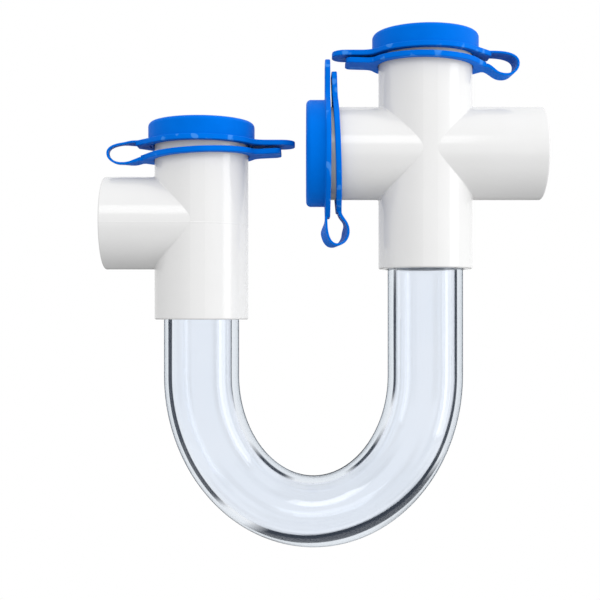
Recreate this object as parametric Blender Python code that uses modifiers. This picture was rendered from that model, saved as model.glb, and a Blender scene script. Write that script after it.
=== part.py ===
"""Condensate trap: a clear U tube between a tee and a cross, with three tethered clean-out caps.

Metres, +Z up. The origin is the centre of the inlet mouth, which faces +X.
"""
import math

import bmesh
import bpy
from mathutils import Matrix, Vector

# Clearances
SEAT_GAP = 0.0003

# Pipe size that the sockets take
PIPE_RADIUS = 0.013335
PIPE_WALL = 0.00287

# Fittings
SOCKET_WALL = 0.00302
SOCKET_DEPTH = 0.0183
SHOULDER = 0.0024
MOUTH_CHAMFER = 0.0004
LEVEL_ARM_SLIMMING = 0.00018
CROTCH_BLEND = 0.0006
AXIS_DROP = 0.0248

# Clear U tube
TUBE_LEG_SHOWN = 0.0198
BEND_DEPTH = 0.0486
BEND_SQUEEZE = 0.0007

# Caps: cup, flange and pull tab
CUP_WALL = 0.00195
CUP_TOP = 0.0010
CUP_OVERLAP = 0.0072
CUP_EDGE = 0.0017
FLANGE_LIP = 0.0013
FLANGE_THICKNESS = 0.0018
FLANGE_NOSE = 0.0028
TAB_LENGTH = 0.0131
TAB_WIDTH = 0.0125
TAB_CORNER = 0.0048
TAB_BLEND = 0.0056

# Collars
COLLAR_THICKNESS = 0.0019
COLLAR_NOSE = 0.0014
COLLAR_TAB_LENGTH = 0.0083
COLLAR_TAB_CORNER = 0.0022
COLLAR_TAB_BLEND = 0.0030

# Room between each flange and its collar at the tip of the collar's tab, and how far the collar sags from there
TEE_COLLAR_GAP = 0.0010
TEE_COLLAR_SAG = math.radians(2.8)
TOP_COLLAR_GAP = 0.0007
TOP_COLLAR_SAG = math.radians(1.6)
SIDE_COLLAR_GAP = 0.0004
SIDE_COLLAR_SAG = math.radians(2.0)

# Straps
STRAP_WIDTH = 0.0094
STRAP_THICKNESS = 0.0008
LOOP_REACH = 0.0128
LOOP_DEPTH = 0.0087
LOOP_LOW_POINT = 0.0078

# Room between one cap and the next
TAB_TO_TAB = 0.0007
LOOP_TO_CAP = 0.0040

# Facets
SEGMENTS = 40
BEND_STEPS = 20
CORNER_STEPS = 6
LOOP_STEPS = 7

# Share of the handles that make a cubic curve follow a quarter of an ellipse
QUARTER_HANDLE = 0.5523

# Sizes that follow from the ones above
SOCKET_RADIUS = PIPE_RADIUS + SEAT_GAP
FITTING_RADIUS = SOCKET_RADIUS + SOCKET_WALL
LEVEL_RATIO = (FITTING_RADIUS - LEVEL_ARM_SLIMMING) / FITTING_RADIUS
BORE_RADIUS = PIPE_RADIUS - PIPE_WALL
CUP_BORE = FITTING_RADIUS + SEAT_GAP
CUP_RADIUS = CUP_BORE + CUP_WALL
CUP_FACE = SEAT_GAP + CUP_TOP
FLANGE_RADIUS = CUP_RADIUS + FLANGE_LIP
FLANGE_TOP = FLANGE_THICKNESS - CUP_OVERLAP
TAB_REACH = FLANGE_RADIUS + TAB_LENGTH
STRAP_REACH = FLANGE_RADIUS + LOOP_REACH
COLLAR_TAB_REACH = FLANGE_RADIUS + COLLAR_TAB_LENGTH
TEE_ARM = SOCKET_DEPTH + SHOULDER + SOCKET_RADIUS
CROSS_ARM = CUP_OVERLAP + TAB_REACH + TAB_TO_TAB
LEG_PITCH = CROSS_ARM + CUP_FACE + LOOP_TO_CAP + max(STRAP_REACH, TAB_REACH)
CROSS_X = -CROSS_ARM
TEE_X = CROSS_X - LEG_PITCH
BEND_TOP = -AXIS_DROP - TEE_ARM - TUBE_LEG_SHOWN

UP = Vector((0, 0, 1))
DOWN = Vector((0, 0, -1))
LEFT = Vector((-1, 0, 0))
RIGHT = Vector((1, 0, 0))

WHITE_PVC = {"colour": (0.86, 0.86, 0.86, 1.0), "roughness": 0.25, "alpha": 1.0}
CLEAR_PLASTIC = {"colour": (0.80, 0.88, 0.95, 1.0), "roughness": 0.05, "alpha": 0.35}
BLUE_PLASTIC = {"colour": (0.0, 0.18, 0.78, 1.0), "roughness": 0.35, "alpha": 1.0}


def clear_scene():
    for obj in list(bpy.data.objects):
        bpy.data.objects.remove(obj, do_unlink=True)


def new_collection(name):
    collection = bpy.data.collections.new(name)
    bpy.context.scene.collection.children.link(collection)
    return collection


def new_material(name, look):
    material = bpy.data.materials.new(name)
    material.use_nodes = True
    shader = material.node_tree.nodes["Principled BSDF"]
    shader.inputs["Base Color"].default_value = look["colour"]
    shader.inputs["Roughness"].default_value = look["roughness"]
    shader.inputs["Metallic"].default_value = 0.0
    shader.inputs["Alpha"].default_value = look["alpha"]
    return material


def add_part(name, mesh, look, matrix=None):
    """One named sub-part with a mesh and a material of its own."""
    mesh = mesh.copy()
    mesh.name = name
    mesh.materials.clear()
    mesh.materials.append(new_material(name, look))
    mesh.shade_smooth()
    mesh.set_sharp_from_angle(angle=math.radians(32))
    obj = bpy.data.objects.new(name, mesh)
    obj.matrix_world = matrix or Matrix.Identity(4)
    PARTS.objects.link(obj)
    return obj


def add_guide(name, data):
    """A shape that parts are made from, kept out of the render."""
    obj = bpy.data.objects.new(name, data)
    obj.hide_render = True
    obj.display_type = "WIRE"
    CUTTERS.objects.link(obj)
    return obj


def mesh_of(obj):
    """The object's shape with its modifiers, as one welded mesh."""
    bpy.context.view_layer.update()
    evaluated = obj.evaluated_get(bpy.context.evaluated_depsgraph_get())
    mesh = bpy.data.meshes.new_from_object(evaluated)
    bm = bmesh.new()
    bm.from_mesh(mesh)
    bmesh.ops.remove_doubles(bm, verts=bm.verts, dist=1e-6)
    bm.to_mesh(mesh)
    bm.free()
    return mesh


def turned(name, profile):
    """Turns (radius, height) points about Z. They run down the outer side, from top to bottom."""
    mesh = bpy.data.meshes.new(name)
    points = [(radius, 0, height) for radius, height in profile]
    mesh.from_pydata(points, [(i, i + 1) for i in range(len(points) - 1)], [])
    obj = add_guide(name, mesh)
    screw = obj.modifiers.new("turn", "SCREW")
    screw.axis = "Z"
    screw.steps = SEGMENTS
    screw.render_steps = SEGMENTS
    screw.use_merge_vertices = True
    screw.merge_threshold = 1e-5
    return obj


def plate(name, thickness, *outlines):
    """A flat outline about the origin, with the later outlines as its holes."""
    curve = bpy.data.curves.new(name, "CURVE")
    curve.dimensions = "2D"
    curve.fill_mode = "BOTH"
    curve.extrude = thickness / 2
    for outline in outlines:
        spline = curve.splines.new("POLY")
        spline.points.add(len(outline) - 1)
        for point, (x, y) in zip(spline.points, outline):
            point.co = (x, y, 0, 1)
        spline.use_cyclic_u = True
    return add_guide(name, curve)


def arc(centre, radius, start, end, steps):
    """Points round a centre from one angle to another, both ends included."""
    turn = (end - start) / steps
    angles = [start + turn * i for i in range(steps + 1)]
    return [(centre[0] + radius * math.cos(a), centre[1] + radius * math.sin(a)) for a in angles]


def ring(radius):
    return arc((0, 0), radius, 0, math.tau, SEGMENTS)[:-1]


def with_boolean(obj, operation, other):
    boolean = obj.modifiers.new(operation.lower(), "BOOLEAN")
    boolean.operation = operation
    boolean.solver = "EXACT"
    boolean.object = other


# Fittings


def arm_profile(length, ratio):
    """Half section of one arm, from the outer wall at the crossing round the mouth and back along the waterway."""
    lip = MOUTH_CHAMFER
    outer = FITTING_RADIUS * ratio
    bore = BORE_RADIUS * ratio
    return [
        (outer, 0),
        (outer, length - lip),
        (outer - lip, length),
        (SOCKET_RADIUS + lip, length),
        (SOCKET_RADIUS, length - lip),
        (SOCKET_RADIUS, length - SOCKET_DEPTH),
        (bore, length - SOCKET_DEPTH),
        (bore, 0),
    ]


def arm_angles(upright):
    """Angles of the lines along an arm, so that upright and level arms have a line wherever they meet."""
    quarter = [math.tau * i / SEGMENTS for i in range(SEGMENTS // 4 + 1)]
    if upright:
        quarter = [math.asin(LEVEL_RATIO * math.sin(a)) for a in quarter]
        quarter.append(math.pi / 2)
    half = quarter + [math.pi - a for a in reversed(quarter[:-1])]
    return half + [-a for a in reversed(half[1:-1])]


def add_arm(bm, length, direction, directions):
    """One arm from its mouth to the curve where it runs into the arms across it."""
    upright = abs(direction.z) > 0.5
    ratio = 1.0 if upright else LEVEL_RATIO
    turn = Matrix.Rotation(math.atan2(direction.x, direction.z), 4, "Y")
    across = turn @ RIGHT
    neighbours = [n.dot(across) for n in directions]
    rings = []
    for radius, height in arm_profile(length, ratio):
        other = radius * LEVEL_RATIO if upright else radius / ratio
        ring_verts = []
        for angle in arm_angles(upright):
            x, y = radius * math.cos(angle), radius * math.sin(angle)
            start = 0.0
            if height == 0 and (max(neighbours) > 0.5 if x > 0 else min(neighbours) < -0.5):
                start = math.sqrt(max(0.0, other * other - y * y))
            ring_verts.append(bm.verts.new(turn @ Vector((x, y, height + start))))
        rings.append(ring_verts)
    for a, b in zip(rings, rings[1:]):
        for i, j in zip(range(len(a)), [*range(1, len(a)), 0]):
            bm.faces.new((a[i], a[j], b[j], b[i]))


def blend_crotches(bm):
    """Rounds the outer creases where two arms meet, fading out where they run smooth."""
    level_radius = FITTING_RADIUS * LEVEL_RATIO
    creases = []
    for edge in bm.edges:
        on_upright = all(abs(math.hypot(v.co.x, v.co.y) - FITTING_RADIUS) < 1e-6 for v in edge.verts)
        on_level = all(abs(math.hypot(v.co.z, v.co.y) - level_radius) < 1e-6 for v in edge.verts)
        sharp = all(abs(v.co.z) > FITTING_RADIUS * 0.45 for v in edge.verts)
        if on_upright and on_level and sharp:
            creases.append(edge)
    bmesh.ops.bevel(
        bm,
        geom=creases,
        offset=CROTCH_BLEND,
        offset_type="OFFSET",
        segments=2,
        profile=0.5,
        affect="EDGES",
        clamp_overlap=True,
    )


def fitting_mesh(name, length, directions):
    """Upright arms and slightly slimmer level ones, lofted from their mouths to the curves where they meet."""
    bm = bmesh.new()
    for direction in directions:
        add_arm(bm, length, direction, directions)
    bmesh.ops.remove_doubles(bm, verts=bm.verts, dist=1e-6)
    bmesh.ops.recalc_face_normals(bm, faces=bm.faces)
    blend_crotches(bm)
    mesh = bpy.data.meshes.new(name)
    bm.to_mesh(mesh)
    bm.free()
    return mesh


# Clear U tube


def tube_stations():
    """Centre, outward direction and half height of each section, from the tee's leg round to the cross's."""
    middle = (TEE_X + CROSS_X) / 2
    half = LEG_PITCH / 2
    seat = SOCKET_DEPTH - SEAT_GAP
    tee_end = -AXIS_DROP - TEE_ARM + seat
    cross_end = -CROSS_ARM + seat
    stations = [(Vector((TEE_X, 0, tee_end)), LEFT, PIPE_RADIUS)]
    for i in range(BEND_STEPS + 1):
        turn = math.pi * i / BEND_STEPS
        centre = Vector((middle - half * math.cos(turn), 0, BEND_TOP - BEND_DEPTH * math.sin(turn)))
        outward = Vector((-BEND_DEPTH * math.cos(turn), 0, -half * math.sin(turn))).normalized()
        squeeze = BEND_SQUEEZE * math.sin(turn) ** 2
        stations.append((centre, outward, PIPE_RADIUS - squeeze))
    stations.append((Vector((CROSS_X, 0, cross_end)), RIGHT, PIPE_RADIUS))
    return stations


def tube_mesh():
    """Outer surface lofted through round and slightly flattened sections, with its wall inside it."""
    bm = bmesh.new()
    rings = []
    for centre, outward, half_height in tube_stations():
        section = []
        for i in range(SEGMENTS):
            angle = math.tau * i / SEGMENTS
            across = Vector((0, PIPE_RADIUS * math.sin(angle), 0))
            section.append(bm.verts.new(centre + outward * half_height * math.cos(angle) + across))
        rings.append(section)
    for lower, upper in zip(rings, rings[1:]):
        for i in range(SEGMENTS):
            j = (i + 1) % SEGMENTS
            bm.faces.new((lower[i], lower[j], upper[j], upper[i]))
    bmesh.ops.recalc_face_normals(bm, faces=bm.faces)
    mesh = bpy.data.meshes.new("tube_skin")
    bm.to_mesh(mesh)
    bm.free()
    skin = add_guide("tube_skin", mesh)
    wall = skin.modifiers.new("wall", "SOLIDIFY")
    wall.thickness = PIPE_WALL
    wall.offset = -1
    wall.use_even_offset = True
    return mesh_of(skin)


# Tethered cap: the pipe's end face is at height 0, and the strap is on the +X side


def eared_outline(nose, tab_length, corner, blend):
    """A round flange with a nose for the strap at +X and a pull tab at -X."""
    half = TAB_WIDTH / 2
    tip = FLANGE_RADIUS + tab_length
    corner = min(corner, half)
    blend_x = math.sqrt((FLANGE_RADIUS + blend) ** 2 - (half + blend) ** 2)
    joins = math.atan2(half + blend, blend_x)
    nose_x = FLANGE_RADIUS + nose
    reach = math.hypot(nose_x, STRAP_WIDTH / 2)
    leaves = math.atan2(STRAP_WIDTH / 2, nose_x) + math.acos(FLANGE_RADIUS / reach)
    side = [(nose_x, STRAP_WIDTH / 2)]
    side += arc((0, 0), FLANGE_RADIUS, leaves, math.pi - joins, SEGMENTS // 2 - 5)
    side += arc((-blend_x, half + blend), blend, -joins, -math.pi / 2, CORNER_STEPS)[1:]
    side += arc((corner - tip, half - corner), corner, math.pi / 2, math.pi, CORNER_STEPS)
    return side + [(x, -y) for x, y in reversed(side)]


def cap_mesh():
    """Cup and flange plate joined, then bored to slip over the fitting's end."""
    edge = min(CUP_EDGE, CUP_WALL)
    profile = [(0, CUP_FACE)]
    profile += arc((CUP_RADIUS - edge, CUP_FACE - edge), edge, math.pi / 2, 0, 4)
    profile += [(CUP_RADIUS, FLANGE_TOP - FLANGE_THICKNESS / 2), (0, FLANGE_TOP - FLANGE_THICKNESS / 2)]
    blank = turned("cup_blank", profile)

    outline = eared_outline(FLANGE_NOSE, TAB_LENGTH, TAB_CORNER, TAB_BLEND)
    flange = add_guide("flange_plate", mesh_of(plate("flange_outline", FLANGE_THICKNESS, outline)))
    flange.location.z = FLANGE_TOP - FLANGE_THICKNESS / 2

    floor = -CUP_OVERLAP - FLANGE_THICKNESS
    bore = turned("cup_bore", [(0, SEAT_GAP), (CUP_BORE, SEAT_GAP), (CUP_BORE, floor), (0, floor)])

    with_boolean(blank, "UNION", flange)
    with_boolean(blank, "DIFFERENCE", bore)
    return mesh_of(blank)


def collar_matrix(gap, sag):
    """The collar hangs under the flange by a gap at its tab's tip, and sags from there to the strap's side."""
    middle = -CUP_OVERLAP - gap - COLLAR_TAB_REACH * math.sin(sag) - COLLAR_THICKNESS / 2
    return Matrix.Translation((0, 0, middle)) @ Matrix.Rotation(sag, 4, "Y")


def collar_mesh(gap, sag):
    outline = eared_outline(COLLAR_NOSE, COLLAR_TAB_LENGTH, COLLAR_TAB_CORNER, COLLAR_TAB_BLEND)
    mesh = mesh_of(plate("collar_outline", COLLAR_THICKNESS, outline, ring(CUP_BORE)))
    mesh.transform(collar_matrix(gap, sag))
    return mesh


def bezier(a, b, c, d, steps):
    """Points of a cubic curve from a to d, without a itself."""
    points = []
    for i in range(1, steps + 1):
        t = i / steps
        u = 1 - t
        points.append(a * u**3 + b * (3 * u * u * t) + c * (3 * u * t * t) + d * t**3)
    return points


def strap_line(gap, sag):
    """Middle line of the strap in X and Z, from the flange round a hanging loop to the collar's underside."""
    half = STRAP_THICKNESS / 2
    foot = Vector((FLANGE_RADIUS + COLLAR_NOSE + SEAT_GAP, 0, half - COLLAR_THICKNESS / 2))
    start = Vector((FLANGE_RADIUS + FLANGE_NOSE + SEAT_GAP, FLANGE_TOP - half))
    tip = Vector((STRAP_REACH - half, FLANGE_TOP - LOOP_DEPTH / 2))
    low = Vector((FLANGE_RADIUS + LOOP_LOW_POINT, FLANGE_TOP - LOOP_DEPTH + half))
    end = (collar_matrix(gap, sag) @ foot).xz

    out = Vector((QUARTER_HANDLE, 0))
    down = Vector((0, -QUARTER_HANDLE))
    along_collar = Vector((math.cos(sag), -math.sin(sag))) * QUARTER_HANDLE / 2
    back = low.x - end.x
    line = [start]
    line += bezier(start, start + out * (tip.x - start.x), tip - down * (start.y - tip.y), tip, LOOP_STEPS)
    line += bezier(tip, tip + down * (tip.y - low.y), low + out * (tip.x - low.x), low, LOOP_STEPS)
    line += bezier(low, low - out * back, end + along_collar * back, end, LOOP_STEPS)
    return line


def strap_mesh(gap, sag):
    """A ribbon along the strap's line, with its thickness on both sides."""
    line = strap_line(gap, sag)
    bm = bmesh.new()
    verts = [bm.verts.new((x, -STRAP_WIDTH / 2, z)) for x, z in line]
    edges = [bm.edges.new(pair) for pair in zip(verts, verts[1:])]
    swept = bmesh.ops.extrude_edge_only(bm, edges=edges)["geom"]
    moved = [v for v in swept if isinstance(v, bmesh.types.BMVert)]
    bmesh.ops.translate(bm, verts=moved, vec=(0, STRAP_WIDTH, 0))
    bmesh.ops.recalc_face_normals(bm, faces=bm.faces)
    mesh = bpy.data.meshes.new("strap_ribbon")
    bm.to_mesh(mesh)
    bm.free()
    ribbon = add_guide("strap_ribbon", mesh)
    body = ribbon.modifiers.new("thickness", "SOLIDIFY")
    body.thickness = STRAP_THICKNESS
    body.offset = 0
    body.use_even_offset = True
    return mesh_of(ribbon)


def placed(x, z, outward, strap_side):
    """Frame of a cap on an arm that ends at (x, 0, z)."""
    across = outward.cross(strap_side)
    turn = Matrix((strap_side, across, outward)).transposed().to_4x4()
    return Matrix.Translation((x, 0, z)) @ turn


clear_scene()
PARTS = new_collection("condensate_trap")
CUTTERS = new_collection("cutters")

# Fittings and the tube between them
tee_frame = Matrix.Translation((TEE_X, 0, -AXIS_DROP))
cross_frame = Matrix.Translation((CROSS_X, 0, 0))
add_part("outlet_tee", fitting_mesh("tee", TEE_ARM, [UP, DOWN, LEFT]), WHITE_PVC, tee_frame)
add_part("inlet_cross", fitting_mesh("cross", CROSS_ARM, [UP, DOWN, LEFT, RIGHT]), WHITE_PVC, cross_frame)
add_part("clear_u_tube", tube_mesh(), CLEAR_PLASTIC)

# Three caps of one pattern, whose collars hang at slightly different heights
cap = cap_mesh()
caps = {
    "tee_cap": (placed(TEE_X, TEE_ARM - AXIS_DROP, UP, LEFT), TEE_COLLAR_GAP, TEE_COLLAR_SAG),
    "top_cap": (placed(CROSS_X, CROSS_ARM, UP, RIGHT), TOP_COLLAR_GAP, TOP_COLLAR_SAG),
    "side_cap": (placed(CROSS_X - CROSS_ARM, 0, LEFT, DOWN), SIDE_COLLAR_GAP, SIDE_COLLAR_SAG),
}
for name, (frame, gap, sag) in caps.items():
    add_part(name, cap, BLUE_PLASTIC, frame)
    add_part(name + "_collar", collar_mesh(gap, sag), BLUE_PLASTIC, frame)
    add_part(name + "_strap", strap_mesh(gap, sag), BLUE_PLASTIC, frame)
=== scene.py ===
"""Looks of the condensate trap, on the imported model's frame. Metres, +Z up."""
import math

import bmesh
import bpy
from mathutils import Matrix, Vector


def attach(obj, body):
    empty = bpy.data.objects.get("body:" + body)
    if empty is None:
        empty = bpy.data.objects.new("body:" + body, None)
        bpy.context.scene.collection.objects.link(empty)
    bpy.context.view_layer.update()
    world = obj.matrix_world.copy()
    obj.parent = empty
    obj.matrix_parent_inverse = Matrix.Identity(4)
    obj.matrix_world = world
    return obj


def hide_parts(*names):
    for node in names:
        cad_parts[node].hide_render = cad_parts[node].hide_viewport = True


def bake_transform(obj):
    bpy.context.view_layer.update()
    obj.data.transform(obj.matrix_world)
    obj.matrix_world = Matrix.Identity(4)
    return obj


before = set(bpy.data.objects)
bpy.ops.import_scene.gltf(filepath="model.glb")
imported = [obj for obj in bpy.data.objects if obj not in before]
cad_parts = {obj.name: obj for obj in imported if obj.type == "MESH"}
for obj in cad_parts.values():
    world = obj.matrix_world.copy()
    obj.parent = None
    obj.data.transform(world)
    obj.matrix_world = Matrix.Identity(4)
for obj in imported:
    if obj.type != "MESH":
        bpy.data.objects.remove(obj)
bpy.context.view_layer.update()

# Sizes of the solids, except that their collars' noses are 0.4 mm longer
TEE_ARM = 0.034335
CROSS_ARM = 0.041205
LEG_PITCH = 0.07981
SEAT_GAP = 0.0003
PIPE_RADIUS = 0.013335
PIPE_WALL = 0.00287
SOCKET_WALL = 0.00302
SOCKET_DEPTH = 0.0183
LEVEL_ARM_SLIMMING = 0.00018
AXIS_DROP = 0.0248
TUBE_LEG_SHOWN = 0.0198
BEND_DEPTH = 0.0486
BEND_SQUEEZE = 0.0007
CUP_WALL = 0.00195
CUP_TOP = 0.0010
CUP_OVERLAP = 0.0072
FLANGE_LIP = 0.0013
FLANGE_THICKNESS = 0.0018
FLANGE_NOSE = 0.0028
TAB_LENGTH = 0.0131
TAB_WIDTH = 0.0125
TAB_CORNER = 0.0048
TAB_BLEND = 0.0056
COLLAR_THICKNESS = 0.0019
COLLAR_NOSE = 0.0010
COLLAR_TAB_LENGTH = 0.0083
COLLAR_TAB_CORNER = 0.0022
COLLAR_TAB_BLEND = 0.0030
STRAP_WIDTH = 0.0094
STRAP_THICKNESS = 0.0008

# Of each cap: the gap over its collar at the tab's tip, and the collar's sag
HANGING = {
    "tee": (0.0010, math.radians(2.8)),
    "top": (0.0007, math.radians(1.6)),
    "side": (0.0004, math.radians(2.0)),
}

# Of each strap: how far its loop reaches out and hangs down, where it is lowest, and its lean in X and Z from edge to
# edge, about its middle (0) or its near edge (1)
LOOPS = {
    "tee": (0.0136, 0.0080, 0.0084, (-0.115, 0.107), 0.0),
    "top": (0.0125, 0.0087, 0.0079, (-0.045, 0.0), 0.0),
    "side": (0.0128, 0.0087, 0.0078, (-0.195, -0.03), 1.0),
}

SOCKET_RADIUS = PIPE_RADIUS + SEAT_GAP
FITTING_RADIUS = SOCKET_RADIUS + SOCKET_WALL
LEVEL_RATIO = (FITTING_RADIUS - LEVEL_ARM_SLIMMING) / FITTING_RADIUS
BORE_RADIUS = PIPE_RADIUS - PIPE_WALL
CUP_BORE = FITTING_RADIUS + SEAT_GAP
CUP_RADIUS = CUP_BORE + CUP_WALL
CUP_FACE = SEAT_GAP + CUP_TOP
FLANGE_RADIUS = CUP_RADIUS + FLANGE_LIP
FLANGE_TOP = FLANGE_THICKNESS - CUP_OVERLAP
CROSS_X = -CROSS_ARM
TEE_X = CROSS_X - LEG_PITCH
BEND_TOP = -AXIS_DROP - TEE_ARM - TUBE_LEG_SHOWN

# Finer forms that only the looks have
LIP_ROUND = 0.00055
SOCKET_LEAD_IN = 0.0009
SOCKET_FLOOR_ROUND = 0.0004
SHOULDER_ROUND = 0.0005
CREASE_ROUND = 0.0006
WITNESS_DROP = 0.0010
CUP_EDGE = 0.0017
CUP_CHAMFER = 0.0004
CUP_CORNER = 0.0005
FOOT_FILLET = 0.0005
FOOT_DEPTH = 0.0004
FLANGE_ROOT = 0.0006
SEAM_DEPTH = 0.0008
SEAM_HEIGHT = 0.0002
PLATE_ROUND = 0.00035
HOLE_ROUND = 0.0003
NOSE_CORNER = 0.0006
STRAP_ROUND = 0.00022
STRAP_DIP = math.radians(15)
STRAP_INSIDE = 0.0012
STRAP_ROOT = 0.0036
STRAP_ROOT_GROWTH = 0.45
STRAP_ROOT_SPARE = 0.00006
LEAN_EASE = 0.005
PLATE_CREASE = math.radians(50)
STRAP_CREASE = math.radians(60)

# The bend's outer wall is heavier right of its lowest point: by how much, and where along its half turn in degrees
HEAVY_WALL = 0.0014
HEAVY_WALL_AT = 108
HEAVY_WALL_SPAN = 48

# What the camera sees: the middle, the width there, how far away it stands, and its lens shift
VIEW_MIDDLE = Vector((-0.0859, 0, -0.0586))
VIEW_WIDTH = 0.2142
VIEW_DISTANCE = 0.405
VIEW_SHIFT = 0.03
FLOOR_RADIUS = 0.5
FLOOR_HEIGHT = -0.30

# Segments and steps
ROUND = 128
TUBE_ROUND = 96
FLOOR_ROUND = 96
BEND_STEPS = 96
LEG_STEPS = 12
RIM_STEPS = 4
UV_PER_METRE = 10

UP = Vector((0, 0, 1))
DOWN = Vector((0, 0, -1))
LEFT = Vector((-1, 0, 0))
RIGHT = Vector((1, 0, 0))


def arc(centre, radius, start, end, steps):
    """Points round a centre from one angle to another, both ends included."""
    turn = (end - start) / steps
    angles = [start + turn * i for i in range(steps + 1)]
    return [(centre[0] + radius * math.cos(a), centre[1] + radius * math.sin(a)) for a in angles]


def circle(radius, segments):
    """Points of a full circle about the middle."""
    angles = [math.tau * i / segments for i in range(segments)]
    return [(radius * math.cos(a), radius * math.sin(a)) for a in angles]


def eased(share):
    """A share from 0 to 1 with a soft start and end."""
    share = max(0.0, min(1.0, share))
    return share * share * (3 - 2 * share)


def loft(bm, rings):
    """Faces from each closed ring to the next. A ring of one vertex is a point on the axis."""
    for a, b in zip(rings, rings[1:]):
        count = max(len(a), len(b))
        for i in range(count):
            j = (i + 1) % count
            corners = [a[i % len(a)], a[j % len(a)], b[j % len(b)], b[i % len(b)]]
            bm.faces.new(list(dict.fromkeys(corners)))


def ring_edges(bm, ring):
    """The edges between a closed ring's vertices, in their order."""
    return [bm.edges.get((vert, ring[(i + 1) % len(ring)])) for i, vert in enumerate(ring)]


def revolved(profile):
    """Turns (radius, height) points about Z into a skin."""
    bm = bmesh.new()
    rings = []
    for radius, height in profile:
        outline = circle(radius, ROUND) if radius else [(0, 0)]
        rings.append([bm.verts.new((x, y, height)) for x, y in outline])
    loft(bm, rings)
    return bm


def mesh_from(bm, name):
    """A mesh with its faces turned outwards."""
    bmesh.ops.recalc_face_normals(bm, faces=bm.faces)
    mesh = bpy.data.meshes.new(name)
    bm.to_mesh(mesh)
    bm.free()
    return mesh


def finished(mesh, name, modifiers=()):
    """The mesh with these modifiers applied, smooth, with its flat and round faces kept apart."""
    obj = bpy.data.objects.new(name, mesh)
    bpy.context.scene.collection.objects.link(obj)
    for kind, settings in (*modifiers, ("WEIGHTED_NORMAL", {"keep_sharp": True, "weight": 100})):
        modifier = obj.modifiers.new(kind.lower(), kind)
        for key, value in settings.items():
            setattr(modifier, key, value)
    mesh.shade_smooth()
    bpy.context.view_layer.update()
    made = bpy.data.meshes.new_from_object(obj.evaluated_get(bpy.context.evaluated_depsgraph_get()))
    bpy.data.objects.remove(obj)
    made.name = name
    return made


def add_piece(name, mesh, material, body, nodes, matrix=None):
    """One piece of the visual model, in place of CAD nodes."""
    mesh = mesh.copy()
    mesh.name = name
    mesh.materials.clear()
    mesh.materials.append(material)
    if matrix:
        mesh.transform(matrix)
    obj = bpy.data.objects.new(name, mesh)
    bpy.context.scene.collection.objects.link(obj)
    if isinstance(body, str):
        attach(obj, body)
    else:
        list(body)
        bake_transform(obj)
    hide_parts(*nodes)


# Fittings


def arm_profile(length, ratio):
    """Half section of an arm along +Z: outer wall, rounded lip, socket with its lead-in, shoulder and waterway."""
    outer, bore = FITTING_RADIUS * ratio, BORE_RADIUS * ratio
    floor = length - SOCKET_DEPTH
    points = [(outer, 0)]
    points += arc((outer - LIP_ROUND, length - LIP_ROUND), LIP_ROUND, 0, math.pi / 2, 5)
    lead = SOCKET_LEAD_IN
    points += arc((SOCKET_RADIUS + lead, length - lead), lead, math.pi / 2, math.pi, 5)
    corner = SOCKET_FLOOR_ROUND
    points += arc((SOCKET_RADIUS - corner, floor + corner), corner, 0, -math.pi / 2, 3)
    shoulder = SHOULDER_ROUND
    points += arc((bore + shoulder, floor - shoulder), shoulder, math.pi / 2, math.pi, 3)
    return points + [(bore, 0)]


def arm_angles(upright):
    """Angles of the lines along an arm, so that upright and level arms have a line wherever they meet."""
    quarter = [math.tau * i / ROUND for i in range(ROUND // 4 + 1)]
    if upright:
        quarter = [math.asin(LEVEL_RATIO * math.sin(a)) for a in quarter]
        quarter.append(math.pi / 2)
    half = quarter + [math.pi - a for a in reversed(quarter[:-1])]
    return half + [-a for a in reversed(half[1:-1])]


def add_arm(bm, length, direction, directions):
    """One arm from its mouth to the curve where it runs into the arms across it."""
    upright = abs(direction.z) > 0.5
    ratio = 1.0 if upright else LEVEL_RATIO
    turn = Matrix.Rotation(math.atan2(direction.x, direction.z), 4, "Y")
    neighbours = [n.dot(turn @ RIGHT) for n in directions]
    rings = []
    for radius, height in arm_profile(length, ratio):
        other = radius * LEVEL_RATIO if upright else radius / ratio
        ring = []
        for angle in arm_angles(upright):
            x, y = radius * math.cos(angle), radius * math.sin(angle)
            start = 0.0
            if height == 0 and (max(neighbours) > 0.5 if x > 0 else min(neighbours) < -0.5):
                start = math.sqrt(max(0.0, other * other - y * y))
            ring.append(bm.verts.new(turn @ Vector((x, y, height + start))))
        rings.append(ring)
    loft(bm, rings)


def fitting_mesh(name, length, directions):
    """Upright arms and slightly slimmer level ones, with one radius along the outer creases where they meet."""
    bm = bmesh.new()
    for direction in directions:
        add_arm(bm, length, direction, directions)
    bmesh.ops.remove_doubles(bm, verts=bm.verts, dist=1e-6)
    weights = bm.edges.layers.float.new("bevel_weight_edge")
    for edge in bm.edges:
        for size, outer in ((FITTING_RADIUS, True), (BORE_RADIUS, False)):
            on_upright = all(abs(math.hypot(v.co.x, v.co.y) - size) < 1e-6 for v in edge.verts)
            on_level = all(abs(math.hypot(v.co.z, v.co.y) - size * LEVEL_RATIO) < 1e-6 for v in edge.verts)
            if not (on_upright and on_level):
                continue
            depth = (edge.verts[0].co.y + edge.verts[1].co.y) / 2 / size
            cosine = min(1.0, depth * depth / LEVEL_RATIO)
            if outer:
                edge[weights] = math.sqrt((1 - cosine) / (1 + cosine))
            else:
                edge.smooth = False
    mesh = mesh_from(bm, name)
    rounding = {"limit_method": "WEIGHT", "width": CREASE_ROUND, "segments": 5, "use_clamp_overlap": False}
    return finished(mesh, name, [("BEVEL", rounding)])


# Clear U tube


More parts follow.
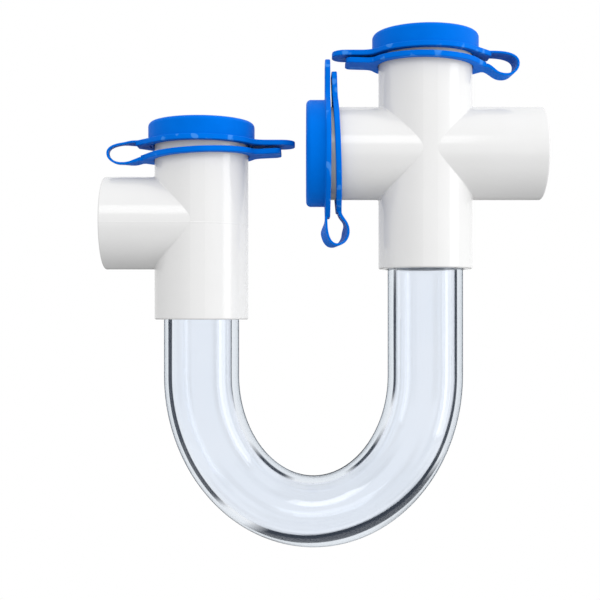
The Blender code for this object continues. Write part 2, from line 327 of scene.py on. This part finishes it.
def tube_stations():
    """Centres along the tube, each with its outward direction, its squeeze and how much heavier its outer wall is."""
    middle = (TEE_X + CROSS_X) / 2
    half = LEG_PITCH / 2
    seat = SOCKET_DEPTH - SEAT_GAP
    tee_end = -AXIS_DROP - TEE_ARM + seat
    cross_end = -CROSS_ARM + seat
    stations = []
    for i in range(LEG_STEPS):
        z = tee_end + (BEND_TOP - tee_end) * i / LEG_STEPS
        stations.append((Vector((TEE_X, 0, z)), LEFT, 0.0, 0.0))
    for i in range(BEND_STEPS + 1):
        turn = math.pi * i / BEND_STEPS
        centre = Vector((middle - half * math.cos(turn), 0, BEND_TOP - BEND_DEPTH * math.sin(turn)))
        outward = Vector((-BEND_DEPTH * math.cos(turn), 0, -half * math.sin(turn))).normalized()
        heavy = HEAVY_WALL * eased(1 - abs(math.degrees(turn) - HEAVY_WALL_AT) / HEAVY_WALL_SPAN)
        stations.append((centre, outward, BEND_SQUEEZE * math.sin(turn) ** 2, heavy))
    for i in range(LEG_STEPS):
        z = BEND_TOP + (cross_end - BEND_TOP) * (i + 1) / LEG_STEPS
        stations.append((Vector((CROSS_X, 0, z)), RIGHT, 0.0, 0.0))
    return stations


def tube_mesh():
    """Outside and bore along the legs and the bend, joined at the cut ends. The UV map has its turn and its length."""
    stations = tube_stations()
    lengths = [0.0]
    for a, b in zip(stations, stations[1:]):
        lengths.append(lengths[-1] + (b[0] - a[0]).length)
    bm = bmesh.new()
    uv = bm.loops.layers.uv.new("tube")
    outside = bm.verts.layers.float.new("outside")
    skins = []
    for wall in (0.0, PIPE_WALL):
        rings = []
        for centre, outward, squeeze, heavy in stations:
            # Half the extra wall narrows the bore, and as much moves it inwards
            shift = heavy / 2 if wall else 0.0
            narrowing = wall + shift
            spot = centre - outward * shift
            ring = []
            for x, y in circle(1.0, TUBE_ROUND):
                along = outward * (PIPE_RADIUS - squeeze - narrowing) * x
                across = Vector((0, (PIPE_RADIUS - narrowing) * y, 0))
                ring.append(bm.verts.new(spot + along + across))
                ring[-1][outside] = 0.0 if wall else 1.0
            rings.append(ring)
        skins.append(rings)
        for s, (a, b) in enumerate(zip(rings, rings[1:])):
            for i in range(TUBE_ROUND):
                j = (i + 1) % TUBE_ROUND
                face = bm.faces.new((a[i], a[j], b[j], b[i]))
                corners = ((i, s), (i + 1, s), (i + 1, s + 1), (i, s + 1))
                for loop, (turn, station) in zip(face.loops, corners):
                    loop[uv].uv = (turn / TUBE_ROUND, lengths[station] * UV_PER_METRE)
    for end in (0, -1):
        rings = [rings[end] for rings in skins]
        loft(bm, rings)
        for edge in ring_edges(bm, rings[0]) + ring_edges(bm, rings[1]):
            edge.smooth = False
    return finished(mesh_from(bm, "clear_tube"), "clear_tube")


# Caps, each about its own arm: the pipe's end face is at height 0, the strap on the +X side and the tab at -X


def eared_outline(nose, tab_length, corner, blend):
    """A round flange with a nose for the strap and a pull tab."""
    half = TAB_WIDTH / 2
    tip = FLANGE_RADIUS + tab_length
    blend_x = math.sqrt((FLANGE_RADIUS + blend) ** 2 - (half + blend) ** 2)
    joins = math.atan2(half + blend, blend_x)
    nose_x = FLANGE_RADIUS + nose
    nose_y = STRAP_WIDTH / 2
    reach = math.hypot(nose_x, nose_y)
    leaves = math.atan2(nose_y, nose_x) + math.acos(FLANGE_RADIUS / reach)
    side = [
        (nose_x, nose_y - NOSE_CORNER),
        (nose_x - NOSE_CORNER * 0.3, nose_y - NOSE_CORNER * 0.25),
        (nose_x - NOSE_CORNER, nose_y + NOSE_CORNER * 0.2),
    ]
    side += arc((0, 0), FLANGE_RADIUS, leaves, math.pi - joins, 52)
    side += arc((-blend_x, half + blend), blend, -joins, -math.pi / 2, 12)[1:]
    side += arc((corner - tip, half - corner), corner, math.pi / 2, math.pi, 12)
    return side + [(x, -y) for x, y in reversed(side)]


def inset(outline, depth):
    """The outline moved inwards by a depth, point by point."""
    moved = []
    for i, point in enumerate(outline):
        here = Vector(point)
        a = (here - Vector(outline[i - 1])).normalized()
        b = (Vector(outline[(i + 1) % len(outline)]) - here).normalized()
        normal = Vector((-(a.y + b.y), a.x + b.x)).normalized()
        lean = max(0.5, normal.dot(Vector((-a.y, a.x))))
        moved.append(tuple(here + normal * depth / lean))
    return moved


def plate_skin(outline, thickness, hole, centre_z=0.0, hole_round=0.0):
    """A plate with rounded rims and a round hole, which has rounded rims where their radius is given."""
    half = thickness / 2
    levels = []
    for i in range(RIM_STEPS + 1):
        a = math.pi / 2 * i / RIM_STEPS
        levels.append((PLATE_ROUND * (1 - math.cos(a)), half - PLATE_ROUND + PLATE_ROUND * math.sin(a)))
    levels = [(depth, -z) for depth, z in reversed(levels)] + levels

    bm = bmesh.new()
    rim = bm.verts.layers.float.new("rim")
    outer = []
    for depth, z in levels:
        outer.append([bm.verts.new((x, y, z + centre_z)) for x, y in inset(outline, depth)])
        for vert in outer[-1]:
            vert[rim] = 1.0
    loft(bm, outer)
    inner = []
    for depth, z in levels if hole_round else [(0.0, -half), (0.0, half)]:
        radius = hole + depth / PLATE_ROUND * hole_round
        inner.append([bm.verts.new((x, y, z + centre_z)) for x, y in circle(radius, ROUND)])
    for a, b in zip(inner, inner[1:]):
        for i in range(ROUND):
            j = (i + 1) % ROUND
            bm.faces.new((a[i], b[i], b[j], a[j]))
    for end in (0, -1):
        edges = ring_edges(bm, outer[end]) + ring_edges(bm, inner[end])
        bmesh.ops.triangle_fill(bm, use_beauty=True, use_dissolve=False, edges=edges)
    return bm


def cap_mesh():
    """Cup with a rounded top edge, a fillet at its foot and the eared flange."""
    foot = FOOT_FILLET
    bottom = -CUP_OVERLAP
    profile = [(0, CUP_FACE)]
    profile += arc((CUP_RADIUS - CUP_EDGE, CUP_FACE - CUP_EDGE), CUP_EDGE, math.pi / 2, 0, 8)
    profile += arc((CUP_RADIUS + foot, FLANGE_TOP + foot), foot, math.pi, 1.5 * math.pi, 5)
    # Down into the flange, inside it to just over its underside, and out at the bore
    profile += [(CUP_RADIUS + foot, FLANGE_TOP - FOOT_DEPTH), (CUP_RADIUS - SEAM_DEPTH, bottom + SEAM_HEIGHT)]
    profile += [(CUP_BORE + CUP_CHAMFER, bottom), (CUP_BORE, bottom + CUP_CHAMFER)]
    profile += [(CUP_BORE, SEAT_GAP - CUP_CORNER), (CUP_BORE - CUP_CORNER, SEAT_GAP), (0, SEAT_GAP)]
    bm = revolved(profile)
    bmesh.ops.recalc_face_normals(bm, faces=bm.faces)
    bm.verts.layers.float.new("rim")
    outline = eared_outline(FLANGE_NOSE, TAB_LENGTH, TAB_CORNER, TAB_BLEND)
    plate = plate_skin(outline, FLANGE_THICKNESS, CUP_RADIUS - FLANGE_ROOT, FLANGE_TOP - FLANGE_THICKNESS / 2)
    bm.from_mesh(mesh_from(plate, "flange"))
    mesh = bpy.data.meshes.new("cap")
    bm.to_mesh(mesh)
    bm.free()
    mesh.set_sharp_from_angle(angle=PLATE_CREASE)
    return finished(mesh, "cap")


def collar_matrix(gap, sag):
    """The collar hangs under the flange by a gap at its tab's tip, and sags from there to the strap's side."""
    reach = FLANGE_RADIUS + COLLAR_TAB_LENGTH
    middle = -CUP_OVERLAP - gap - reach * math.sin(sag) - COLLAR_THICKNESS / 2
    return Matrix.Translation((0, 0, middle)) @ Matrix.Rotation(sag, 4, "Y")


def collar_mesh(gap, sag):
    """The eared ring round the pipe end, in its tilted place under the flange."""
    outline = eared_outline(COLLAR_NOSE, COLLAR_TAB_LENGTH, COLLAR_TAB_CORNER, COLLAR_TAB_BLEND)
    mesh = mesh_from(plate_skin(outline, COLLAR_THICKNESS, CUP_BORE, hole_round=HOLE_ROUND), "collar")
    mesh.transform(collar_matrix(gap, sag))
    mesh.set_sharp_from_angle(angle=PLATE_CREASE)
    return finished(mesh, "collar")


def bezier(a, b, c, d, steps):
    """Points of a cubic curve from a to d, without a itself."""
    points = []
    for i in range(1, steps + 1):
        t = i / steps
        u = 1 - t
        points.append(a * u**3 + b * (3 * u * u * t) + c * (3 * u * t * t) + d * t**3)
    return points


def strap_line(gap, sag, reach, depth, low_point):
    """Middle line of the strap in X and Z, from inside the flange's nose round the loop into the collar's nose."""
    half = STRAP_THICKNESS / 2
    foot = Vector((FLANGE_RADIUS + COLLAR_NOSE + SEAT_GAP, 0, half - COLLAR_THICKNESS / 2))
    start = Vector((FLANGE_RADIUS + FLANGE_NOSE + SEAT_GAP, FLANGE_TOP - half))
    tip = Vector((FLANGE_RADIUS + reach - half, FLANGE_TOP - depth / 2))
    low = Vector((FLANGE_RADIUS + low_point, FLANGE_TOP - depth + half))
    end = (collar_matrix(gap, sag) @ foot).xz

    out = Vector((1, 0))
    down = Vector((0, -1))
    drop, rise = down * (start.y - tip.y), down * (tip.y - low.y)
    back = low.x - end.x
    slope = sag + STRAP_DIP
    dipping = Vector((math.cos(slope), -math.sin(slope)))
    along_collar = Vector((math.cos(sag), -math.sin(sag)))
    line = [start - out * STRAP_INSIDE, start]
    line += bezier(start, start + out * (tip.x - start.x) * 0.72, tip - drop * 0.6, tip, 18)
    line += bezier(tip, tip + rise * 0.55, low + out * (tip.x - low.x) * 0.55, low, 16)
    line += bezier(low, low - out * back * 0.5, end + dipping * back * 0.36, end, 16)
    return line + [end - along_collar * STRAP_INSIDE]


def strap_mesh(line, place, twist, pivot):
    """A ribbon with rounded edges, as thick as the collar where it grows out of it and twisted in its loop."""
    w, t, r = STRAP_WIDTH / 2, STRAP_THICKNESS / 2, STRAP_ROUND
    section = []
    for i, (x, y) in enumerate(((w - r, t - r), (r - w, t - r), (r - w, r - t), (w - r, r - t))):
        section += arc((x, y), r, i * math.pi / 2, (i + 1) * math.pi / 2, 3)
    across = (place.to_3x3() @ Vector((0, 1, 0))).y
    shift = place.to_3x3().inverted() @ Vector((twist[0], 0, twist[1])) * across
    nose = FLANGE_RADIUS + FLANGE_NOSE + SEAT_GAP
    lowest = line.index(min(line, key=lambda point: point.y))
    bm = bmesh.new()
    rings = []
    for i, point in enumerate(line):
        tangent = (line[min(len(line) - 1, i + 1)] - line[max(0, i - 1)]).normalized()
        normal = Vector((tangent.y, -tangent.x))
        share = eased((point.x - nose) / LEAN_EASE)
        growth = 0.0
        if i > lowest:
            past_root = max(0.0, point.x - line[-2].x) / STRAP_ROOT
            growth = STRAP_ROOT_GROWTH * max(0.0, 1 - past_root)
            growth *= COLLAR_THICKNESS - STRAP_THICKNESS - STRAP_ROOT_SPARE
        ring = []
        for a, b in section:
            if b > 0:
                b += growth
            spot = Vector((point.x + normal.x * b, a, point.y + normal.y * b))
            ring.append(bm.verts.new(spot + shift * (a + pivot * w * across) * share))
        rings.append(ring)
    loft(bm, rings)
    bm.faces.new(rings[0])
    bm.faces.new(rings[-1])
    mesh = mesh_from(bm, "strap")
    mesh.set_sharp_from_angle(angle=STRAP_CREASE)
    return finished(mesh, "strap")


def placed(x, z, outward, strap_side):
    """Frame of a cap on an arm that ends at (x, 0, z)."""
    across = outward.cross(strap_side)
    turn = Matrix((strap_side, across, outward)).transposed().to_4x4()
    return Matrix.Translation((x, 0, z)) @ turn


# Materials


class Tree:
    """A node tree, with short calls for the nodes that it often needs."""

    def __init__(self, owner):
        owner.use_nodes = True
        self.nodes = owner.node_tree.nodes
        self.links = owner.node_tree.links

    def put(self, value, socket):
        """Sets a socket to a number or a colour, or links it to another node's output."""
        if isinstance(value, (int, float)):
            socket.default_value = value
        elif isinstance(value, tuple):
            socket.default_value = (*value, 1)
        else:
            self.links.new(value, socket)

    def math(self, operation, *values):
        node = self.nodes.new("ShaderNodeMath")
        node.operation = operation
        for value, socket in zip(values, node.inputs):
            self.put(value, socket)
        return node.outputs[0]

    def axes(self, source):
        node = self.nodes.new("ShaderNodeSeparateXYZ")
        self.links.new(source, node.inputs[0])
        return node.outputs

    def rise(self, source, start, end, low=0.0):
        """From low at the start to 1 at the end, and level outside."""
        node = self.nodes.new("ShaderNodeMapRange")
        for value, name in ((source, "Value"), (start, "From Min"), (end, "From Max"), (low, "To Min")):
            self.put(value, node.inputs[name])
        return node.outputs["Result"]

    def stops(self, source, stops):
        """A colour ramp with these (position, grey or colour) stops, two or more and in order."""
        node = self.nodes.new("ShaderNodeValToRGB")
        elements = node.color_ramp.elements
        while len(elements) < len(stops):
            elements.new(0.5)
        for element, (position, colour) in zip(elements, stops):
            element.position = position
            element.color = (*colour, 1) if isinstance(colour, tuple) else (colour, colour, colour, 1)
        self.links.new(source, node.inputs["Fac"])
        return node.outputs["Color"]

    def mix(self, factor, first, second, blend="MIX"):
        """The first colour where the factor is 0 and the second where it is 1."""
        node = self.nodes.new("ShaderNodeMix")
        node.data_type = "RGBA"
        node.blend_type = blend
        for value, name in ((factor, "Factor"), (first, "A"), (second, "B")):
            self.put(value, node.inputs[name])
        return node.outputs["Result"]

    def switch(self, factor, first, second):
        """The first shader where the factor is 0 and the second where it is 1."""
        node = self.nodes.new("ShaderNodeMixShader")
        for value, socket in zip((factor, first, second), node.inputs):
            self.put(value, socket)
        return node.outputs[0]


class Look(Tree):
    """Node tree of one Principled material, with short calls for its textures."""

    def __init__(self, name, **uniform):
        self.material = bpy.data.materials.new(name)
        super().__init__(self.material)
        self.shader = self.nodes["Principled BSDF"]
        for key, value in uniform.items():
            self.feed(value, key.replace("_", " "))
        self.place = self.nodes.new("ShaderNodeTexCoord").outputs["Object"]

    def feed(self, value, socket):
        self.put(value, self.shader.inputs[socket])

    def noise(self, scale, detail, stretch=None, vector=None):
        node = self.nodes.new("ShaderNodeTexNoise")
        node.inputs["Scale"].default_value = scale
        node.inputs["Detail"].default_value = detail
        source = vector or self.place
        if stretch:
            mapping = self.nodes.new("ShaderNodeMapping")
            mapping.inputs["Scale"].default_value = stretch
            self.links.new(source, mapping.inputs["Vector"])
            source = mapping.outputs["Vector"]
        self.links.new(source, node.inputs["Vector"])
        return node.outputs["Fac"]

    def ramp(self, source, low, high, start=0.3, end=0.7):
        return self.stops(source, [(start, low), (end, high)])

    def attribute(self, name):
        node = self.nodes.new("ShaderNodeAttribute")
        node.attribute_name = name
        return node.outputs["Fac"]

    def bump(self, source, distance, strength, after=None):
        node = self.nodes.new("ShaderNodeBump")
        node.inputs["Distance"].default_value = distance
        node.inputs["Strength"].default_value = strength
        self.links.new(source, node.inputs["Height"])
        if after:
            self.links.new(after, node.inputs["Normal"])
        self.feed(node.outputs["Normal"], "Normal")
        return node.outputs["Normal"]


def white_pvc(name, witness_z=None):
    """Moulded white PVC: faint cloudiness, a fine orange peel and, on the tee, a witness line."""
    look = Look(name, Metallic=0.0, IOR=1.53)
    look.feed(look.ramp(look.noise(70, 2), (0.858, 0.858, 0.856), (0.872, 0.872, 0.871)), "Base Color")
    look.feed(look.ramp(look.noise(260, 3), 0.12, 0.15), "Roughness")
    fine = look.bump(look.noise(1400, 2), 0.000003, 0.5)
    waves = look.bump(look.noise(160, 1), 0.00001, 0.6, fine)
    if witness_z is not None:
        away = look.math("ABSOLUTE", look.math("SUBTRACT", look.axes(look.place)["Z"], witness_z))
        look.bump(look.rise(away, 0.0003, 0.00012), 0.00005, 0.6, waves)
    return look.material


def clear_plastic():
    """Clear bent tube: pale blue, with painted shade along its outline, and faint drawing lines along it."""
    look = Look("clear_tube", Metallic=0.0, IOR=1.5, Transmission_Weight=1.0)
    body = look.ramp(look.noise(40, 2), (0.90, 0.935, 0.985), (0.915, 0.945, 0.99))
    # Painted shade on the outer skin, by how far it faces away: a little bluer, then dark grey along its outline.
    facing = look.nodes.new("ShaderNodeLayerWeight")
    facing.inputs["Blend"].default_value = 0.5
    rim = look.math("MULTIPLY", facing.outputs["Facing"], look.attribute("outside"))
    painted_outline_shade = look.stops(rim, [
        (0.35, (1.0, 1.0, 1.0)),
        (0.5, (0.92, 0.965, 0.995)),
        (0.74, (0.90, 0.955, 0.99)),
        (0.84, (0.30, 0.36, 0.42)),
    ])
    look.feed(look.mix(1.0, body, painted_outline_shade, "MULTIPLY"), "Base Color")
    look.feed(look.ramp(look.noise(300, 2), 0.0, 0.003), "Roughness")
    uv = look.nodes.new("ShaderNodeUVMap")
    uv.uv_map = "tube"
    lines = look.noise(1, 2, (60, 1.2, 1), uv.outputs["UV"])
    look.bump(lines, 0.00004, 0.25)
    return look.material


def blue_plastic():
    """Satin blue polyethylene: fine grain, slight cloudiness and paler patches along the rims, which are painted
    glints as well as rubbed wear.
    """
    look = Look("blue_cap", Metallic=0.0, IOR=1.5, Specular_IOR_Level=0.06, Specular_Tint=(0.05, 0.5, 1.0))
    # Paler patches along the rims: painted glints that also stand for rubbed wear.
    patches = look.ramp(look.noise(190, 2), 0.0, 0.6, 0.61, 0.66)
    painted_glints_and_wear = look.math("MULTIPLY", look.attribute("rim"), patches)
    body = look.ramp(look.noise(150, 3), (0.0, 0.165, 0.78), (0.0, 0.182, 0.84))
    body = look.mix(painted_glints_and_wear, body, (0.09, 0.36, 0.95))
    # Greyer in the light that it throws back, so that white plastic beside it takes little of its colour
    path = look.nodes.new("ShaderNodeLightPath")
    indirect = look.math("MAXIMUM", path.outputs["Is Diffuse Ray"], path.outputs["Is Glossy Ray"])
    look.feed(look.mix(indirect, body, (0.10, 0.16, 0.42)), "Base Color")
    look.feed(look.ramp(look.noise(500, 3), 0.50, 0.58), "Roughness")
    fine = look.bump(look.noise(2600, 3), 0.000006, 0.6)
    look.bump(look.noise(260, 2), 0.00002, 0.5, fine)
    return look.material


# Studio


def stripe(tree, source, offset, span, start, end, soft):
    """1 between two degrees, with soft ends, and 0 elsewhere. The source is 0 to 1 over the span, after the offset."""
    stops = ((start - soft, 0), (start + soft, 1), (end - soft, 1), (end + soft, 0))
    return tree.stops(source, [((degrees + offset) / span, value) for degrees, value in stops])


def studio_world():
    """White to the eye and through the tube, whose wall reflects dark cards, with a soft fill that is weaker below."""
    world = bpy.data.worlds.new("studio")
    bpy.context.scene.world = world
    tree = Tree(world)
    tree.nodes.clear()
    ray = tree.nodes.new("ShaderNodeLightPath").outputs
    direction = tree.axes(tree.nodes.new("ShaderNodeTexCoord").outputs["Generated"])

    def background(colour, strength=1.0):
        node = tree.nodes.new("ShaderNodeBackground")
        tree.put(colour, node.inputs["Color"])
        tree.put(strength, node.inputs["Strength"])
        return node.outputs[0]

    # Directions as an angle away from the middle of the backdrop, or of its mirror image in front, and a turn round
    # it: -90 left, 0 below, 90 right
    angle = tree.math("DIVIDE", tree.math("ARCCOSINE", tree.math("ABSOLUTE", direction["Y"])), math.pi)
    turn = tree.math("ARCTAN2", direction["X"], tree.math("MULTIPLY", direction["Z"], -1.0))
    turn = tree.math("MULTIPLY_ADD", turn, 0.5 / math.pi, 0.5)

    # Dark cards, each given by its angles away and its turns, both with a soft edge. Only light that the tube's wall
    # has reflected sees them, so that the tube stays clear from every side.
    cards = [
        ((37, 63, 2), (-95, -40, 3)),
        ((49, 70, 2), (40, 97, 4)),
        ((22, 84, 3), (-20, 50, 6)),
        ((31, 54, 3), (-141, -112, 6)),
        ((31, 54, 3), (120, 153, 6)),
    ]
    dark = 0.0
    for away, around in cards:
        card = tree.math("MULTIPLY", stripe(tree, angle, 0, 180, *away), stripe(tree, turn, 180, 360, *around))
        dark = tree.math("MAXIMUM", dark, card)
    dark = tree.math("MULTIPLY", dark, tree.math("MINIMUM", ray["Glossy Depth"], 1.0))
    through_tube = tree.mix(dark, (0.97, 0.97, 0.97), (0.022, 0.032, 0.05))

    # Gloss sees white that fades out below on plastic, and dark on the tube
    on_plastic = background((0.97, 0.97, 0.97), tree.rise(direction["Z"], -0.20, -0.06, 0.25))
    gloss = tree.switch(ray["Is Singular Ray"], on_plastic, background((0.04, 0.05, 0.065)))

    fill = tree.stops(tree.rise(direction["Z"], -1.0, 1.0), [(0.0, 0.34), (0.5, 0.80), (1.0, 0.90)])
    stronger_right = tree.math("ADD", tree.math("MULTIPLY", direction["X"], 0.20), 1.0)

    seen = background(fill, stronger_right)
    seen = tree.switch(ray["Is Glossy Ray"], seen, gloss)
    seen = tree.switch(ray["Is Transmission Ray"], seen, background(through_tube))
    seen = tree.switch(ray["Is Camera Ray"], seen, background((1.0, 1.0, 1.0)))
    out = tree.nodes.new("ShaderNodeOutputWorld")
    tree.links.new(seen, out.inputs["Surface"])


def add_panel(name, azimuth, elevation, distance, width, height, strength):
    """A soft panel that faces the object. Azimuth 0 is at the camera and 90 at its right."""
    a, e = math.radians(azimuth), math.radians(elevation)
    away = Vector((math.sin(a) * math.cos(e), -math.cos(a) * math.cos(e), math.sin(e)))
    light = bpy.data.lights.new(name, "AREA")
    light.shape = "RECTANGLE"
    light.size, light.size_y = width, height
    light.energy = strength * math.pi * width * height
    lamp = bpy.data.objects.new(name, light)
    lamp.location = VIEW_MIDDLE + away * distance
    lamp.rotation_euler = (-away).to_track_quat("-Z", "Y").to_euler()
    bpy.context.scene.collection.objects.link(lamp)


def add_camera():
    """A camera straight in front, which frames the object as in the photo."""
    camera = bpy.data.cameras.new("camera")
    camera.sensor_width = 36
    camera.lens = camera.sensor_width * VIEW_DISTANCE / VIEW_WIDTH
    camera.shift_y = VIEW_SHIFT
    obj = bpy.data.objects.new("camera", camera)
    obj.location = VIEW_MIDDLE + Vector((0, -VIEW_DISTANCE, 0))
    obj.rotation_euler = (math.pi / 2, 0, 0)
    bpy.context.scene.collection.objects.link(obj)
    bpy.context.scene.camera = obj


def add_floor():
    """A plain pale floor, darker in the light that it throws back, and not seen through the tube."""
    bm = bmesh.new()
    bmesh.ops.create_circle(bm, cap_ends=True, segments=FLOOR_ROUND, radius=FLOOR_RADIUS)
    bmesh.ops.translate(bm, verts=bm.verts, vec=(VIEW_MIDDLE.x, 0, FLOOR_HEIGHT))
    mesh = bpy.data.meshes.new("floor")
    bm.to_mesh(mesh)
    bm.free()
    look = Look("floor", Roughness=0.8)
    ray = look.nodes.new("ShaderNodeLightPath").outputs
    thrown_back = look.ramp(look.noise(25, 3), 0.41, 0.43)
    seen = look.ramp(look.noise(25, 3), 0.93, 0.95)
    look.feed(look.mix(ray["Is Camera Ray"], thrown_back, seen), "Base Color")
    clear = look.nodes.new("ShaderNodeBsdfTransparent").outputs[0]
    surface = look.switch(ray["Is Transmission Ray"], look.shader.outputs[0], clear)
    look.links.new(surface, look.nodes["Material Output"].inputs["Surface"])
    mesh.materials.append(look.material)
    floor = bpy.data.objects.new("floor", mesh)
    bpy.context.scene.collection.objects.link(floor)


add_camera()
add_floor()
studio_world()
add_panel("right_panel", 69, 4, 0.9, 0.36, 0.9, 2.4)
add_panel("front_panel", -7, 31, 0.9, 0.58, 0.30, 2.7)
bpy.context.scene.view_settings.view_transform = "Standard"

WHITE = white_pvc("white_pvc")
WHITE_TEE = white_pvc("white_pvc_tee", -AXIS_DROP - WITNESS_DROP)
CLEAR = clear_plastic()
BLUE = blue_plastic()

tee = fitting_mesh("tee", TEE_ARM, [UP, DOWN, LEFT])
tee_place = Matrix.Translation((TEE_X, 0, -AXIS_DROP))
add_piece("tee_fitting", tee, WHITE_TEE, "trap", ["outlet_tee"], tee_place)
cross = fitting_mesh("cross", CROSS_ARM, [UP, DOWN, LEFT, RIGHT])
cross_place = Matrix.Translation((CROSS_X, 0, 0))
add_piece("cross_fitting", cross, WHITE, "trap", ["inlet_cross"], cross_place)
add_piece("u_tube", tube_mesh(), CLEAR, "trap", ["clear_u_tube"])

cap = cap_mesh()
frames = {
    "tee": placed(TEE_X, TEE_ARM - AXIS_DROP, UP, LEFT),
    "top": placed(CROSS_X, CROSS_ARM, UP, RIGHT),
    "side": placed(CROSS_X - CROSS_ARM, 0, LEFT, DOWN),
}
for key, place in frames.items():
    gap, sag = HANGING[key]
    *loop, twist, pivot = LOOPS[key]
    node = key + "_cap"
    tether, closure = key + "_tether", key + "_closure"
    add_piece(node + "_cup", cap, BLUE, closure, [node], place)
    add_piece(node + "_ring", collar_mesh(gap, sag), BLUE, tether, [node + "_collar"], place)
    line = strap_line(gap, sag, *loop)
    root = FLANGE_RADIUS + FLANGE_NOSE
    start = place @ Vector((root, 0, line[-1].y))
    end = place @ Vector((root, 0, line[0].y))
    band = strap_mesh(line, place, twist, pivot)
    add_piece(node + "_band", band, BLUE, (tether, closure, start, end), [node + "_strap"], place)
